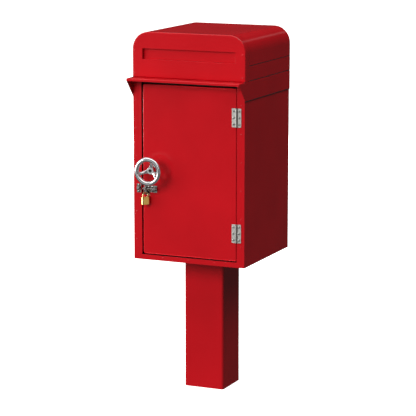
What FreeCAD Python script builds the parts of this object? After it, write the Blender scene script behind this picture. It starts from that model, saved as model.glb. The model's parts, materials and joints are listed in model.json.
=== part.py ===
import FreeCAD, Part
import Sketcher
import os
import re

# Parcel mailbox on a square post: a sheet steel cabinet with a hinged door, a visor tray over the door,
# and a letter box with a slot flap and a lifting roof lid on top. Millimetres, front towards -Y, origin at
# the middle of the post's foot.

doc = FreeCAD.newDocument("parcel_mailbox")
sheet = doc.addObject("Spreadsheet::Sheet", "sizes")

# Driving sizes
driving = {
    # cabinet
    "cabinet_width": 350,
    "cabinet_depth": 340,
    "cabinet_base": 400,
    "cabinet_height": 534.8,
    "skin": 1.2,
    "bend": 1.3,
    "fit_gap": 0.3,
    "front_flange": 11,
    "top_flange": 20,
    "floor_skin": 1.6,
    # post and its fixing
    "post_width": 125,
    "post_wall": 3.2,
    "post_corner": 7,
    "head_plate_width": 200,
    "head_plate_thick": 6,
    "head_plate_corner": 10,
    "floor_bolt_pitch": 160,
    "floor_bolt_radius": 5,
    "floor_bolt_head": 6.4,
    "floor_bolt_flats": 16,
    "floor_nut_thick": 8,
    "floor_bolt_spare": 3,
    "bolt_hole_gap": 0.5,
    "thread_gap": 0.05,
    # front frame and door
    "stile_width": 24,
    "lock_stile": 26,
    "sill_height": 15,
    "head_height": 12.2,
    "opening_edge": 0.5,
    "jamb_offset": 4.5,
    "jamb_depth": 22,
    "stop_width": 12,
    "lock_gap": 5.5,
    "hinge_gap": 1.2,
    "top_gap": 6.4,
    "sill_gap": 3.8,
    "door_depth": 16,
    "door_return": 12,
    "door_corner": 3,
    "seal_width": 9,
    "seal_gap": 0.3,
    "seal_leg": 3,
    "trim_inset": 0.2,
    "trim_gap": 0.1,
    "trim_height": 2.2,
    # visor tray
    "skirt_height": 54,
    "visor_reach": 44,
    "visor_lip": 7.7,
    # letter box
    "mail_height": 131,
    "shoulder": 50,
    "header_return": 27,
    "tub_height": 42.5,
    "lid_gap": 2,
    "lid_front_gap": 0.8,
    "lip_gap": 0.4,
    "lip_rise": 6,
    "lip_root": 10,
    "gutter_lap": 12,
    "slot_margin": 31.5,
    "slot_height": 31,
    "slot_rise": 52,
    "slot_return": 9,
    "slot_edge": 0.8,
    "flap_cover": 5,
    "flap_skin": 1.2,
    "flap_barrel": 3.5,
    "flap_pin_radius": 2,
    "bracket_skin": 1.5,
    "bracket_gap": 0.5,
    "bracket_foot": 10,
    "bracket_half": 6,
    "running_gap": 0.05,
    # butt hinges, the same on the door and the lid
    "hinge_length": 54,
    "leaf_width": 14.3,
    "leaf_skin": 1.5,
    "leaf_corner": 1.5,
    "knuckle_radius": 3,
    "knuckle_count": 5,
    "knuckle_gap": 0.3,
    "hinge_pin_radius": 1.5,
    "upper_hinge_drop": 82.2,
    "lower_hinge_rise": 81,
    "lid_hinge_inset": 66.5,
    "hinge_screw_offset": 8.8,
    "hinge_screw_pitch": 19,
    # small screws
    "screw_radius": 1.75,
    "screw_head_radius": 3.4,
    "screw_head_height": 1.5,
    "screw_head_top": 2.2,
    "screw_length": 3.5,
    "screw_hole_gap": 0.25,
    "tray_screw_radius": 2.5,
    "tray_screw_head": 4.5,
    "tray_screw_height": 2.6,
    "tray_screw_length": 7,
    "tray_screw_inset": 10,
    "tray_screw_pitch": 110,
    # handwheel and cam
    "wheel_inset": 35,
    "wheel_rise": 250.2,
    "wheel_radius": 42,
    "rim_radius": 6.8,
    "wheel_dish": 15,
    "hub_radius": 11,
    "hub_length": 21,
    "hub_stand": 8,
    "hub_edge": 2,
    "spoke_count": 3,
    "spoke_start": 78,
    "spoke_root_width": 15,
    "spoke_root_thick": 10,
    "spoke_waist_width": 9.5,
    "spoke_waist_thick": 7.5,
    "spoke_tip_width": 13,
    "spoke_tip_thick": 8,
    "spoke_sink": 6,
    "spoke_sag": 0.375,
    "cap_recess_radius": 5.5,
    "cap_recess_depth": 3,
    "hub_web": 3,
    "cap_screw_radius": 2.5,
    "cap_screw_head": 4.2,
    "cap_screw_height": 2.2,
    "cap_screw_length": 12,
    "spindle_radius": 5,
    "rose_radius": 15,
    "rose_thick": 4,
    "rose_edge": 2,
    "bush_radius": 8,
    "bush_length": 11,
    "bush_nut_flats": 22,
    "bush_nut_thick": 6,
    "cam_gap": 1.5,
    "cam_thick": 3,
    "cam_boss_radius": 9,
    "cam_width": 12,
    "cam_length": 35,
    "cam_tip_edge": 4,
    "cam_nut_flats": 16,
    "cam_nut_thick": 5,
    "spindle_spare": 2,
    # slide bolt
    "bolt_rise": 192.2,
    "bolt_radius": 3,
    "bolt_stand": 5.2,
    "bolt_length": 44.5,
    "bolt_tip_inset": 0.7,
    "bolt_tip_edge": 0.8,
    "plate_inset": 2.7,
    "plate_length": 41,
    "plate_half_height": 10,
    "plate_skin": 1.2,
    "tongue_half": 7,
    "tongue_drop": 18,
    "plate_screw_rise": 5.8,
    "plate_left_inset": 16.5,
    "plate_right_inset": 14,
    "guide_width": 6,
    "guide_wall": 1.6,
    "guide_inset": 9,
    "guide_pitch": 29,
    "slide_gap": 0.3,
    "tab_inset": 32,
    "tab_width": 5,
    "tab_thick": 3,
    "tab_length": 7.5,
    "tab_reach": 8,
    "keeper_inset": 1.5,
    "keeper_width": 14,
    "keeper_half_height": 13,
    "keeper_block": 8,
    "keeper_screw_pitch": 9.2,
    # padlock and its eye
    "eye_inset": 13.2,
    "eye_drop": 5.2,
    "eye_reach": 15.5,
    "eye_half": 9.2,
    "eye_corner": 8.4,
    "eye_hole": 7.2,
    "eye_skin": 1.5,
    "padlock_turn": 52,
    "padlock_drop": 3.4,
    "shackle_wire": 2,
    "shackle_radius": 7.8,
    "shackle_clear": 5.4,
    "heel_depth": 14,
    "toe_depth": 6,
    "case_width": 22,
    "case_height": 22.5,
    "case_thick": 10,
    "case_side_edge": 3,
    "case_end_edge": 1,
    "shackle_gap": 0.2,
    "plug_radius": 4,
    "plug_depth": 8,
    "keyway_width": 1.2,
    "keyway_length": 5,
    "keyway_depth": 5,
}

# Places worked out from the driving sizes
worked_out = {
    "half_width": "cabinet_width / 2",
    "front": "0 - cabinet_depth / 2",
    "back": "cabinet_depth / 2",
    "frame_back": "front + skin",
    "cabinet_top": "cabinet_base + cabinet_height",
    "tray_top": "cabinet_top + skin",
    "outer_bend": "bend + skin",
    "opening_half": "half_width - stile_width",
    "opening_low": "cabinet_base + sill_height",
    "opening_high": "cabinet_top - head_height",
    "stop_front": "front + jamb_depth - skin",
    "stop_back": "front + jamb_depth",
    "opening_left": "lock_stile - half_width",
    "jamb_half": "opening_half + jamb_offset",
    "jamb_left": "opening_left - jamb_offset",
    "jamb_low": "opening_low - jamb_offset",
    "jamb_high": "opening_high + jamb_offset",
    "door_left": "opening_left + lock_gap",
    "door_right": "opening_half - hinge_gap",
    "door_low": "opening_low + sill_gap",
    "door_high": "opening_high - top_gap",
    "door_back": "front + door_depth",
    "floor_top": "opening_low - skin - fit_gap",
    "floor_under": "floor_top - floor_skin",
    "post_top": "floor_under - head_plate_thick",
    "bolt_place": "floor_bolt_pitch / 2",
    "bolt_hole": "floor_bolt_radius + bolt_hole_gap",
    "cap_half": "half_width + fit_gap + skin",
    "cap_back": "back + fit_gap + skin",
    "skirt_low": "tray_top - skirt_height",
    "visor_front": "front - visor_reach",
    "mail_top": "tray_top + mail_height",
    "header_back": "front + header_return",
    "header_middle": "front + header_return / 2",
    "tub_front": "header_back + fit_gap",
    "tub_top": "tray_top + tub_height",
    "lid_low": "tub_top + lid_gap",
    "lid_front": "header_back + lid_front_gap",
    "lip_half": "cap_half - skin - lip_gap",
    "lip_back": "cap_back - skin - lip_gap",
    "lip_front": "header_back + gutter_lap + fit_gap",
    "slot_half": "cap_half - slot_margin",
    "slot_low": "tray_top + slot_rise",
    "slot_high": "slot_low + slot_height",
    "flap_half": "slot_half + flap_cover",
    "flap_front": "front + slot_return + fit_gap",
    "flap_axis_y": "flap_front + flap_barrel",
    "flap_axis_z": "slot_high + flap_cover + flap_barrel",
    "flap_low": "slot_low - flap_cover",
    "bracket_inner": "flap_half + bracket_gap",
    "bracket_outer": "bracket_inner + bracket_skin",
    "hinge_axis_x": "(opening_half + door_right) / 2",
    "upper_hinge_z": "door_high - upper_hinge_drop",
    "lower_hinge_z": "door_low + lower_hinge_rise",
    "lid_axis_z": "tub_top + lid_gap / 2",
    "lid_hinge_spread": "cap_half - lid_hinge_inset",
    "screw_hole": "screw_radius + screw_hole_gap",
    "tray_hole": "tray_screw_radius + screw_hole_gap",
    "tray_screw_x": "half_width - tray_screw_inset",
    "wheel_x": "door_left + wheel_inset",
    "wheel_z": "door_low + wheel_rise",
    "hub_face": "hub_stand + hub_length",
    "rim_plane": "hub_face + wheel_dish",
    "rim_middle": "wheel_radius - rim_radius",
    "spindle_end": "hub_face - cap_recess_depth - hub_web",
    "spindle_bore": "spindle_radius + running_gap",
    "cam_front": "0 - jamb_depth - cam_gap",
    "cam_back": "cam_front - cam_thick",
    "nut_back": "cam_back - cam_nut_thick",
    "spindle_start": "nut_back - spindle_spare",
    "bolt_z": "door_low + bolt_rise",
    "bolt_tip": "door_left + bolt_tip_inset",
    "plate_left": "door_left + plate_inset",
    "plate_right": "plate_left + plate_length",
    "guide_left": "door_left + guide_inset",
    "guide_half": "bolt_radius + slide_gap + guide_wall",
    "tab_x": "door_left + tab_inset",
    "keeper_right": "opening_left - keeper_inset",
    "keeper_left": "keeper_right - keeper_width",
    "keeper_middle": "keeper_right - keeper_width / 2",
    "eye_x": "door_left + eye_inset",
    "eye_z": "bolt_z - eye_drop",
    "case_top": "0 - shackle_clear",
    "case_low": "case_top - case_height",
}

for row, (alias, number) in enumerate(driving.items(), 1):
    sheet.set(f"A{row}", alias)
    sheet.set(f"B{row}", str(number))
    sheet.setAlias(f"B{row}", alias)
doc.recompute()

vector = FreeCAD.Vector
upright = FreeCAD.Rotation()
facing_front = FreeCAD.Rotation(vector(1, 0, 0), 90)
facing_back = FreeCAD.Rotation(vector(0, 0, 1), vector(1, 0, 0), vector(0, 1, 0), "XYZ")
along_x = FreeCAD.Rotation(vector(0, 1, 0), 90)
touch = 0.001
sub_parts = []


def formula(text):
    """Spell out a size in terms of the sheet's cells."""
    def spell(word):
        name = word.group()
        if name in driving:
            return "sizes." + name
        if name in ("sqrt", "sin", "cos"):
            return name
        return f"({formula(worked_out[name])})"
    return re.sub(r"[a-z_]+", spell, text)


def value(text):
    return float(sheet.evalExpression(formula(text)))


def bind(thing, prop, text):
    thing.setExpression(prop, formula(text))


def place(thing, rotation, x, y, z):
    thing.Placement = FreeCAD.Placement(vector(), rotation)
    for axis, text in zip("xyz", (x, y, z)):
        bind(thing, f"Placement.Base.{axis}", text)


def keep(thing, label):
    thing.Label = label
    sub_parts.append(thing)
    return thing


def new_body(label, rotation=upright, x="0", y="0", z="0"):
    body = doc.addObject("PartDesign::Body", label)
    place(body, rotation, x, y, z)
    return keep(body, label)


# Sketch outlines: each function returns what draws one closed loop, bound to the sheet
def hold(sketch, kind, geometry, point, text):
    number = sketch.addConstraint(Sketcher.Constraint(kind, -1, 1, geometry, point, value(text)))
    bind(sketch, f"Constraints[{number}]", text)


def measure(sketch, kind, geometry, text):
    number = sketch.addConstraint(Sketcher.Constraint(kind, geometry, value(text)))
    bind(sketch, f"Constraints[{number}]", text)


def polygon(*points):
    def draw(sketch):
        first = sketch.GeometryCount
        spots = [vector(value(x), value(y), 0) for x, y in points]
        count = len(spots)
        for step in range(count):
            sketch.addGeometry(Part.LineSegment(spots[step], spots[(step + 1) % count]))
        for step, (x, y) in enumerate(points):
            following = first + (step + 1) % count
            sketch.addConstraint(Sketcher.Constraint("Coincident", first + step, 2, following, 1))
            hold(sketch, "DistanceX", first + step, 1, x)
            hold(sketch, "DistanceY", first + step, 1, y)
    return draw


def rectangle(left, right, low, high):
    return polygon((left, low), (right, low), (right, high), (left, high))


def hexagon_outline(flats):
    corner = f"{flats} / sqrt(3)"
    return polygon(*[(f"{corner} * cos({turn})", f"{corner} * sin({turn})") for turn in range(0, 360, 60)])


def circle(x, y, radius):
    def draw(sketch):
        middle = vector(value(x), value(y), 0)
        number = sketch.addGeometry(Part.Circle(middle, vector(0, 0, 1), value(radius)))
        hold(sketch, "DistanceX", number, 3, x)
        hold(sketch, "DistanceY", number, 3, y)
        measure(sketch, "Radius", number, radius)
    return draw


def ellipse(x, y, width, height):
    def draw(sketch):
        middle = vector(value(x), value(y), 0)
        number = sketch.addGeometry(Part.Ellipse(middle, value(width) / 2, value(height) / 2))
        sketch.exposeInternalGeometry(number)
        hold(sketch, "DistanceX", number, 3, x)
        hold(sketch, "DistanceY", number, 3, y)
        sketch.addConstraint(Sketcher.Constraint("Horizontal", number + 1))
        measure(sketch, "Distance", number + 1, width)
        measure(sketch, "Distance", number + 2, height)
    return draw


def origin_feature(body, role):
    return next(feature for feature in body.Origin.OriginFeatures if feature.Role == role)


def sketch_on(body, role, place_along, loops):
    sketch = body.newObject("Sketcher::SketchObject", body.Name + "_sketch")
    sketch.AttachmentSupport = [(origin_feature(body, role), "")]
    sketch.MapMode = "FlatFace"
    sign = "0 - " if role == "XZ_Plane" else "0 + "
    bind(sketch, "AttachmentOffset.Base.z", f"{sign}({place_along})")
    for draw in loops:
        draw(sketch)
    return sketch


# Features: start and end are places along the plane's axis, start the smaller
def pad(body, role, start, end, *loops):
    feature = body.newObject("PartDesign::Pad", body.Name + "_pad")
    feature.Profile = sketch_on(body, role, start, loops)
    bind(feature, "Length", f"({end}) - ({start})")
    feature.Reversed = role == "XZ_Plane"
    doc.recompute()
    return feature


def pocket(body, role, start, end, *loops):
    before = body.Shape.Volume
    feature = body.newObject("PartDesign::Pocket", body.Name + "_pocket")
    feature.Profile = sketch_on(body, role, start, loops)
    bind(feature, "Length", f"({end}) - ({start})")
    feature.Reversed = role != "XZ_Plane"
    doc.recompute()
    if not body.Shape.Volume < before:
        raise RuntimeError(f"{body.Label}: a pocket cuts nothing")
    return feature


def fillet(body, radius, chosen):
    base = body.Tip
    feature = body.newObject("PartDesign::Fillet", body.Name + "_fillet")
    names = [f"Edge{number}" for number, edge in enumerate(base.Shape.Edges, 1) if chosen(edge)]
    feature.Base = (base, names)
    bind(feature, "Radius", radius)
    doc.recompute()
    return feature


def shell(body, wall, opened):
    base = body.Tip
    feature = body.newObject("PartDesign::Thickness", body.Name + "_wall")
    names = [f"Face{number}" for number, face in enumerate(base.Shape.Faces, 1) if opened(face)]
    feature.Base = (base, names)
    bind(feature, "Value", wall)
    feature.Reversed = True
    doc.recompute()
    return feature


# Picking edges and faces by where they lie in their body
def at(item, **places):
    middle = item.CenterOfMass
    return all(abs(getattr(middle, axis) - value(text)) < touch for axis, text in places.items())


def flat_at(item, axis, text):
    box = item.BoundBox
    low = getattr(box, axis.upper() + "Min")
    high = getattr(box, axis.upper() + "Max")
    return abs(low - value(text)) < touch and abs(high - value(text)) < touch


def runs(edge, axis):
    lengths = {name: getattr(edge.BoundBox, name.upper() + "Length") for name in "xyz"}
    return all((length > touch) == (name == axis) for name, length in lengths.items())


def rims(edge, half, low, high):
    """Whether an edge on the front plane belongs to the outline of an opening in it."""
    middle = edge.CenterOfMass
    within = value(low) - touch < middle.z < value(high) + touch
    return flat_at(edge, "y", "front") and within and abs(middle.x) < value(half) + touch


# Fasteners from primitives, each a head on a shank, its seat at z = 0 and its head outwards
def cylinder(name, rotation, x, y, z, radius, length):
    thing = doc.addObject("Part::Cylinder", name)
    place(thing, rotation, x, y, z)
    bind(thing, "Radius", radius)
    bind(thing, "Height", length)
    return thing


def hexagon(name, rotation, x, y, z, flats, height):
    thing = doc.addObject("Part::Prism", name)
    thing.Polygon = 6
    place(thing, rotation, x, y, z)
    bind(thing, "Circumradius", f"({flats}) / sqrt(3)")
    bind(thing, "Height", height)
    return thing


def fuse(name, base, tool):
    thing = doc.addObject("Part::Fuse", name)
    thing.Base = base
    thing.Tool = tool
    return thing


def cut(name, base, tool):
    thing = doc.addObject("Part::Cut", name)
    thing.Base = base
    thing.Tool = tool
    return thing


def group(label, members):
    thing = doc.addObject("Part::Compound", label)
    thing.Links = members
    return keep(thing, label)


def pan_screw(name, rotation, outwards, x, y, z, size):
    """A pan head screw: outwards is the (axis, sign) that its head points along."""
    radius, head, top, height, length = size
    spot = {"x": x, "y": y, "z": z}
    axis, sign = outwards
    spot[axis] = f"({spot[axis]}) {'-' if sign > 0 else '+'} {length}"
    shank = cylinder(name + "_shank", rotation, spot["x"], spot["y"], spot["z"], radius, length)
    dome = doc.addObject("Part::Cone", name + "_head")
    place(dome, rotation, x, y, z)
    bind(dome, "Radius1", head)
    bind(dome, "Radius2", top)
    bind(dome, "Height", height)
    return fuse(name, shank, dome)


small_screw = ("screw_radius", "screw_head_radius", "screw_head_top", "screw_head_height", "screw_length")
tray_screw = ("tray_screw_radius", "tray_screw_head", "tray_screw_radius", "tray_screw_height",
              "tray_screw_length")
out_front = (facing_front, ("y", -1))
out_back = (FreeCAD.Rotation(vector(1, 0, 0), -90), ("y", 1))
out_top = (upright, ("z", 1))
both = ("0 - 1", "1")
three = ("0 - 1", "0", "1")

# Where the hinge screws go: x and z on the frame and the door, x and z on the tub and the lid
door_hinges = {"upper": "upper_hinge_z", "lower": "lower_hinge_z"}
lid_hinges = {"left": "0 - lid_hinge_spread", "right": "lid_hinge_spread"}
frame_spots = [("hinge_axis_x + hinge_screw_offset", f"{middle} + ({step}) * hinge_screw_pitch")
               for middle in door_hinges.values() for step in three]
door_spots = [("hinge_axis_x - hinge_screw_offset", f"{middle} + ({step}) * hinge_screw_pitch")
              for middle in door_hinges.values() for step in three]
tub_spots = [(f"{middle} + ({step}) * hinge_screw_pitch", "lid_axis_z - hinge_screw_offset")
             for middle in lid_hinges.values() for step in three]
lid_spots = [(f"{middle} + ({step}) * hinge_screw_pitch", "lid_axis_z + hinge_screw_offset")
             for middle in lid_hinges.values() for step in three]
plate_spots = [(across, f"bolt_z + ({step}) * plate_screw_rise") for step in both
               for across in ("plate_left + plate_left_inset", "plate_right - plate_right_inset")]
keeper_spots = [("keeper_middle", f"bolt_z + ({step}) * keeper_screw_pitch") for step in both]
tray_spots = [(f"({side}) * tray_screw_x", f"({step}) * tray_screw_pitch") for side in both for step in three]
header_spots = [(f"({step}) * tray_screw_pitch", "header_middle") for step in three]
bolt_spots = [(f"({side}) * bolt_place", f"({end}) * bolt_place") for side in both for end in both]


def holes(spots, radius):
    return [circle(x, y, radius) for x, y in spots]


def screws(label, outwards, spots, seat, size):
    """A group of screws: spots lie in the seat's plane, across X and then the other axis."""
    rotation, direction = outwards
    members = []
    for number, (across, other) in enumerate(spots, 1):
        y, z = (seat, other) if direction[0] == "y" else (other, seat)
        members.append(pan_screw(f"{label}_{number}", rotation, direction, across, y, z, size))
    group(label, members)


# Post: a square tube, a head plate welded on it, four bolts up through the cabinet floor
def make_post():
    body = new_body("post_tube")
    pad(body, "XY_Plane", "0", "post_top",
        rectangle("0 - post_width / 2", "post_width / 2", "0 - post_width / 2", "post_width / 2"))
    fillet(body, "post_corner", lambda edge: runs(edge, "z"))
    shell(body, "post_wall", lambda face: flat_at(face, "z", "0") or flat_at(face, "z", "post_top"))

    body = new_body("post_head_plate")
    half = "head_plate_width / 2"
    pad(body, "XY_Plane", "post_top", "floor_under",
        rectangle(f"0 - {half}", half, f"0 - {half}", half), *holes(bolt_spots, "bolt_hole"))
    fillet(body, "head_plate_corner",
           lambda edge: runs(edge, "z") and (at(edge, x=half) or at(edge, x=f"0 - {half}")))

    bolts = []
    nuts = []
    for number, (x, y) in enumerate(bolt_spots, 1):
        low = "post_top - floor_nut_thick - floor_bolt_spare"
        shank = cylinder(f"floor_shank_{number}", upright, x, y, low, "floor_bolt_radius",
                         f"floor_top - ({low})")
        head = hexagon(f"floor_head_{number}", upright, x, y, "floor_top", "floor_bolt_flats",
                       "floor_bolt_head")
        bolts.append(fuse(f"floor_bolt_{number}", shank, head))
        under = "post_top - floor_nut_thick"
        blank = hexagon(f"nut_blank_{number}", upright, x, y, under, "floor_bolt_flats", "floor_nut_thick")
        bore = cylinder(f"nut_bore_{number}", upright, x, y, under, "floor_bolt_radius + thread_gap",
                        "floor_nut_thick")
        nuts.append(cut(f"floor_nut_{number}", blank, bore))
    group("floor_bolts", bolts)
    group("floor_nuts", nuts)


# Cabinet: a wrap for the two sides and the back, a floor pan, a front frame and a seal on its stop flange
def make_cabinet():
    body = new_body("cabinet_shell")
    pad(body, "XY_Plane", "cabinet_base", "cabinet_top",
        rectangle("0 - half_width", "half_width", "frame_back", "back"))
    fillet(body, "outer_bend", lambda edge: (runs(edge, "z") and edge.CenterOfMass.y > 0)
           or (flat_at(edge, "z", "cabinet_top") and not flat_at(edge, "y", "frame_back")))
    shell(body, "skin", lambda face: flat_at(face, "z", "cabinet_base") or flat_at(face, "y", "frame_back"))
    pocket(body, "XY_Plane", "cabinet_top - 2 * skin", "cabinet_top + skin",
           rectangle("top_flange - half_width", "half_width - top_flange", "frame_back - skin",
                     "back - top_flange"),
           *holes(tray_spots, "tray_hole"))
    edge = "half_width - skin / 2"
    inner = "half_width - front_flange"
    pad(body, "XY_Plane", "cabinet_base", "cabinet_top - outer_bend",
        rectangle(f"0 - ({edge})", f"0 - ({inner})", "frame_back", "frame_back + skin"),
        rectangle(inner, edge, "frame_back", "frame_back + skin"))

    body = new_body("cabinet_floor")
    side = "half_width - skin - fit_gap"
    pad(body, "XY_Plane", "cabinet_base", "floor_top",
        rectangle(f"0 - ({side})", side, "stop_back + fit_gap", "back - skin - fit_gap"))
    fillet(body, "bend + floor_skin", lambda edge: flat_at(edge, "z", "floor_top") or runs(edge, "z"))
    shell(body, "floor_skin", lambda face: flat_at(face, "z", "cabinet_base"))
    pocket(body, "XY_Plane", "floor_under - floor_skin", "floor_top + floor_skin",
           *holes(bolt_spots, "bolt_hole"))

    body = new_body("front_frame")
    inside = rectangle("opening_left", "opening_half", "opening_low", "opening_high")
    jamb = rectangle("jamb_left", "jamb_half", "jamb_low", "jamb_high")
    around = rectangle("jamb_left - skin", "jamb_half + skin", "jamb_low - skin", "jamb_high + skin")
    stop = rectangle("opening_left + stop_width", "opening_half - stop_width", "opening_low + stop_width",
                     "opening_high - stop_width")
    pad(body, "XZ_Plane", "front", "frame_back",
        rectangle("0 - half_width", "half_width", "cabinet_base", "cabinet_top"), inside)
    pad(body, "XZ_Plane", "front + skin / 2", "stop_back", around, jamb)
    pad(body, "XZ_Plane", "stop_front", "stop_back", around, stop)
    fillet(body, "opening_edge", lambda edge: rims(edge, "opening_half", "opening_low", "opening_high"))
    fillet(body, "bend", lambda edge: runs(edge, "y") and at(edge, z="cabinet_top"))
    pocket(body, "XZ_Plane", "front - skin", "frame_back + skin",
           *holes(frame_spots, "screw_hole"), *holes(keeper_spots, "screw_hole"))

    body = new_body("door_seal")
    left = "jamb_left + fit_gap"
    right = "jamb_half - fit_gap"
    low = "jamb_low + fit_gap"
    high = "jamb_high - fit_gap"
    edge = rectangle(left, right, low, high)
    pad(body, "XZ_Plane", "door_back + seal_gap", "stop_front", edge,
        rectangle("opening_left + fit_gap + seal_width", "opening_half - fit_gap - seal_width",
                  "opening_low + fit_gap + seal_width", "opening_high - fit_gap - seal_width"))
    pad(body, "XZ_Plane", "frame_back + fit_gap", "stop_front", edge,
        rectangle(f"{left} + seal_leg", f"{right} - seal_leg", f"{low} + seal_leg", f"{high} - seal_leg"))


# A strip in plan along both sides and the back, open at the front
def u_strip(half, front, behind, wall):
    inner = f"({half}) - ({wall})"
    inner_back = f"({behind}) - ({wall})"
    return polygon((f"0 - ({half})", front), (f"0 - ({half})", behind), (half, behind), (half, front),
                   (inner, front), (inner, inner_back), (f"0 - ({inner})", inner_back),
                   (f"0 - ({inner})", front))


def edge_trim(label, start, end, half, front, behind, wall):
    """A rubber strip along both sides and the back, rounded at the two outer corners."""
    body = new_body(label)
    pad(body, "XY_Plane", start, end, u_strip(half, front, behind, wall))
    fillet(body, "outer_bend", lambda edge: runs(edge, "z") and at(edge, y=behind))


# Visor tray: one folded sheet over the cabinet, its skirt running out into the gussets of the visor
def make_tray():
    body = new_body("visor_tray")
    pad(body, "XY_Plane", "skirt_low", "tray_top",
        rectangle("0 - cap_half", "cap_half", "visor_front", "cap_back"))
    fillet(body, "outer_bend", lambda edge: flat_at(edge, "z", "tray_top") or runs(edge, "z"))
    shell(body, "skin", lambda face: flat_at(face, "z", "skirt_low"))
    pocket(body, "YZ_Plane", "0 - cap_half - skin", "cap_half + skin",
           polygon(("visor_front - skin", "skirt_low - skin"), ("front", "skirt_low - skin"),
                   ("front", "skirt_low"),
                   ("visor_front + outer_bend", "tray_top - visor_lip"),
                   ("visor_front - skin", "tray_top - visor_lip")))
    pocket(body, "XY_Plane", "cabinet_top - skin", "tray_top + skin",
           *holes(tray_spots, "tray_hole"), *holes(header_spots, "tray_hole"))
    edge_trim("skirt_trim", "skirt_low - trim_height", "skirt_low", "cap_half", "front", "cap_back",
              "cap_half - half_width - trim_gap")


# Letter box: a low tub, a header front with the slot, a gutter strip in the lid joint and the roof lid
def make_mail_box():
    body = new_body("mail_tub")
    pad(body, "XY_Plane", "tray_top", "tub_top",
        rectangle("0 - cap_half", "cap_half", "tub_front", "cap_back"))
    fillet(body, "outer_bend", lambda edge: (runs(edge, "z") and edge.CenterOfMass.y > 0)
           or (flat_at(edge, "z", "tray_top") and not flat_at(edge, "y", "tub_front")))
    shell(body, "skin", lambda face: flat_at(face, "z", "tub_top") or flat_at(face, "y", "tub_front"))
    pad(body, "XY_Plane", "tub_top - lip_root", "tub_top",
        u_strip("cap_half - skin / 2", "lip_front", "cap_back - skin / 2", "skin / 2 + lip_gap + skin"))
    pad(body, "XY_Plane", "tub_top - lip_root", "tub_top + lip_rise",
        u_strip("lip_half", "lip_front", "lip_back", "skin"))
    pocket(body, "XY_Plane", "tray_top - skin", "tray_top + 2 * skin", *holes(tray_spots, "tray_hole"))
    pocket(body, "XZ_Plane", "cap_back - 4 * skin", "cap_back + skin", *holes(tub_spots, "screw_hole"))

    body = new_body("header_front")
    pad(body, "XZ_Plane", "front", "header_back",
        rectangle("0 - cap_half", "cap_half", "tray_top", "mail_top"))
    fillet(body, "shoulder", lambda edge: runs(edge, "y") and at(edge, z="mail_top"))
    fillet(body, "outer_bend", lambda edge: flat_at(edge, "y", "front"))
    shell(body, "skin", lambda face: flat_at(face, "y", "header_back"))
    slot = rectangle("0 - slot_half", "slot_half", "slot_low", "slot_high")
    pad(body, "XZ_Plane", "front + skin / 2", "front + slot_return", slot,
        rectangle("0 - slot_half - skin", "slot_half + skin", "slot_low - skin", "slot_high + skin"))
    pocket(body, "XZ_Plane", "front - skin", "frame_back + skin", slot)
    fillet(body, "slot_edge", lambda edge: rims(edge, "slot_half", "slot_low", "slot_high"))
    pocket(body, "XY_Plane", "tray_top - skin", "tray_top + 2 * skin", *holes(header_spots, "tray_hole"))

    body = new_body("lid_gutter")
    pad(body, "XZ_Plane", "header_back - gutter_lap", "header_back + gutter_lap",
        rectangle("0 - lip_half", "lip_half", "tray_top + outer_bend", "mail_top - skin - lip_gap"))
    fillet(body, "shoulder - skin - lip_gap",
           lambda edge: runs(edge, "y") and edge.CenterOfMass.z > value("tub_top"))
    shell(body, "skin", lambda face: flat_at(face, "y", "header_back - gutter_lap")
          or flat_at(face, "y", "header_back + gutter_lap") or flat_at(face, "z", "tray_top + outer_bend"))

    body = new_body("roof_lid")
    pad(body, "XZ_Plane", "lid_front", "cap_back",
        rectangle("0 - cap_half", "cap_half", "lid_low", "mail_top"))
    fillet(body, "shoulder", lambda edge: runs(edge, "y") and at(edge, z="mail_top"))
    fillet(body, "outer_bend",
           lambda edge: flat_at(edge, "y", "cap_back") and not flat_at(edge, "z", "lid_low"))
    shell(body, "skin", lambda face: flat_at(face, "y", "lid_front") or flat_at(face, "z", "lid_low"))
    pocket(body, "XZ_Plane", "cap_back - 3 * skin", "cap_back + skin", *holes(lid_spots, "screw_hole"))
    edge_trim("lid_seal", "tub_top", "lid_low - trim_gap", "cap_half - trim_inset", "lid_front",
              "cap_back - trim_inset", "skin")


# Slot flap: a plate with a rolled barrel on a pin, carried by two brackets behind the header
def make_flap():
    body = new_body("slot_flap")
    pad(body, "YZ_Plane", "0 - flap_half", "flap_half",
        rectangle("flap_front", "flap_front + flap_skin", "flap_low", "flap_axis_z"))
    pad(body, "YZ_Plane", "0 - flap_half", "flap_half", circle("flap_axis_y", "flap_axis_z", "flap_barrel"))
    pocket(body, "YZ_Plane", "0 - flap_half - skin", "flap_half + skin",
           circle("flap_axis_y", "flap_axis_z", "flap_pin_radius + running_gap"))

    length = "2 * bracket_outer"
    pin = cylinder("flap_pin", along_x, "0 - bracket_outer", "flap_axis_y", "flap_axis_z", "flap_pin_radius",
                   length)
    keep(pin, "flap_pin")

    body = new_body("flap_brackets")
    for start, end, foot in (("bracket_inner", "bracket_outer", "bracket_inner + bracket_foot"),
                             ("0 - bracket_outer", "0 - bracket_inner", "0 - bracket_inner - bracket_foot")):
        low = "flap_axis_z - bracket_half"
        high = "flap_axis_z + bracket_half"
        pad(body, "YZ_Plane", start, end, rectangle("frame_back", "flap_axis_y + bracket_half", low, high))
        left, right = sorted((start, foot), key=value)
        pad(body, "XZ_Plane", "frame_back", "frame_back + bracket_skin", rectangle(left, right, low, high))
    fillet(body, "bracket_half - bracket_skin", lambda edge: runs(edge, "x")
           and at(edge, y="flap_axis_y + bracket_half"))
    pocket(body, "YZ_Plane", "0 - bracket_outer - skin", "bracket_outer + skin",
           circle("flap_axis_y", "flap_axis_z", "flap_pin_radius + running_gap"))


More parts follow.
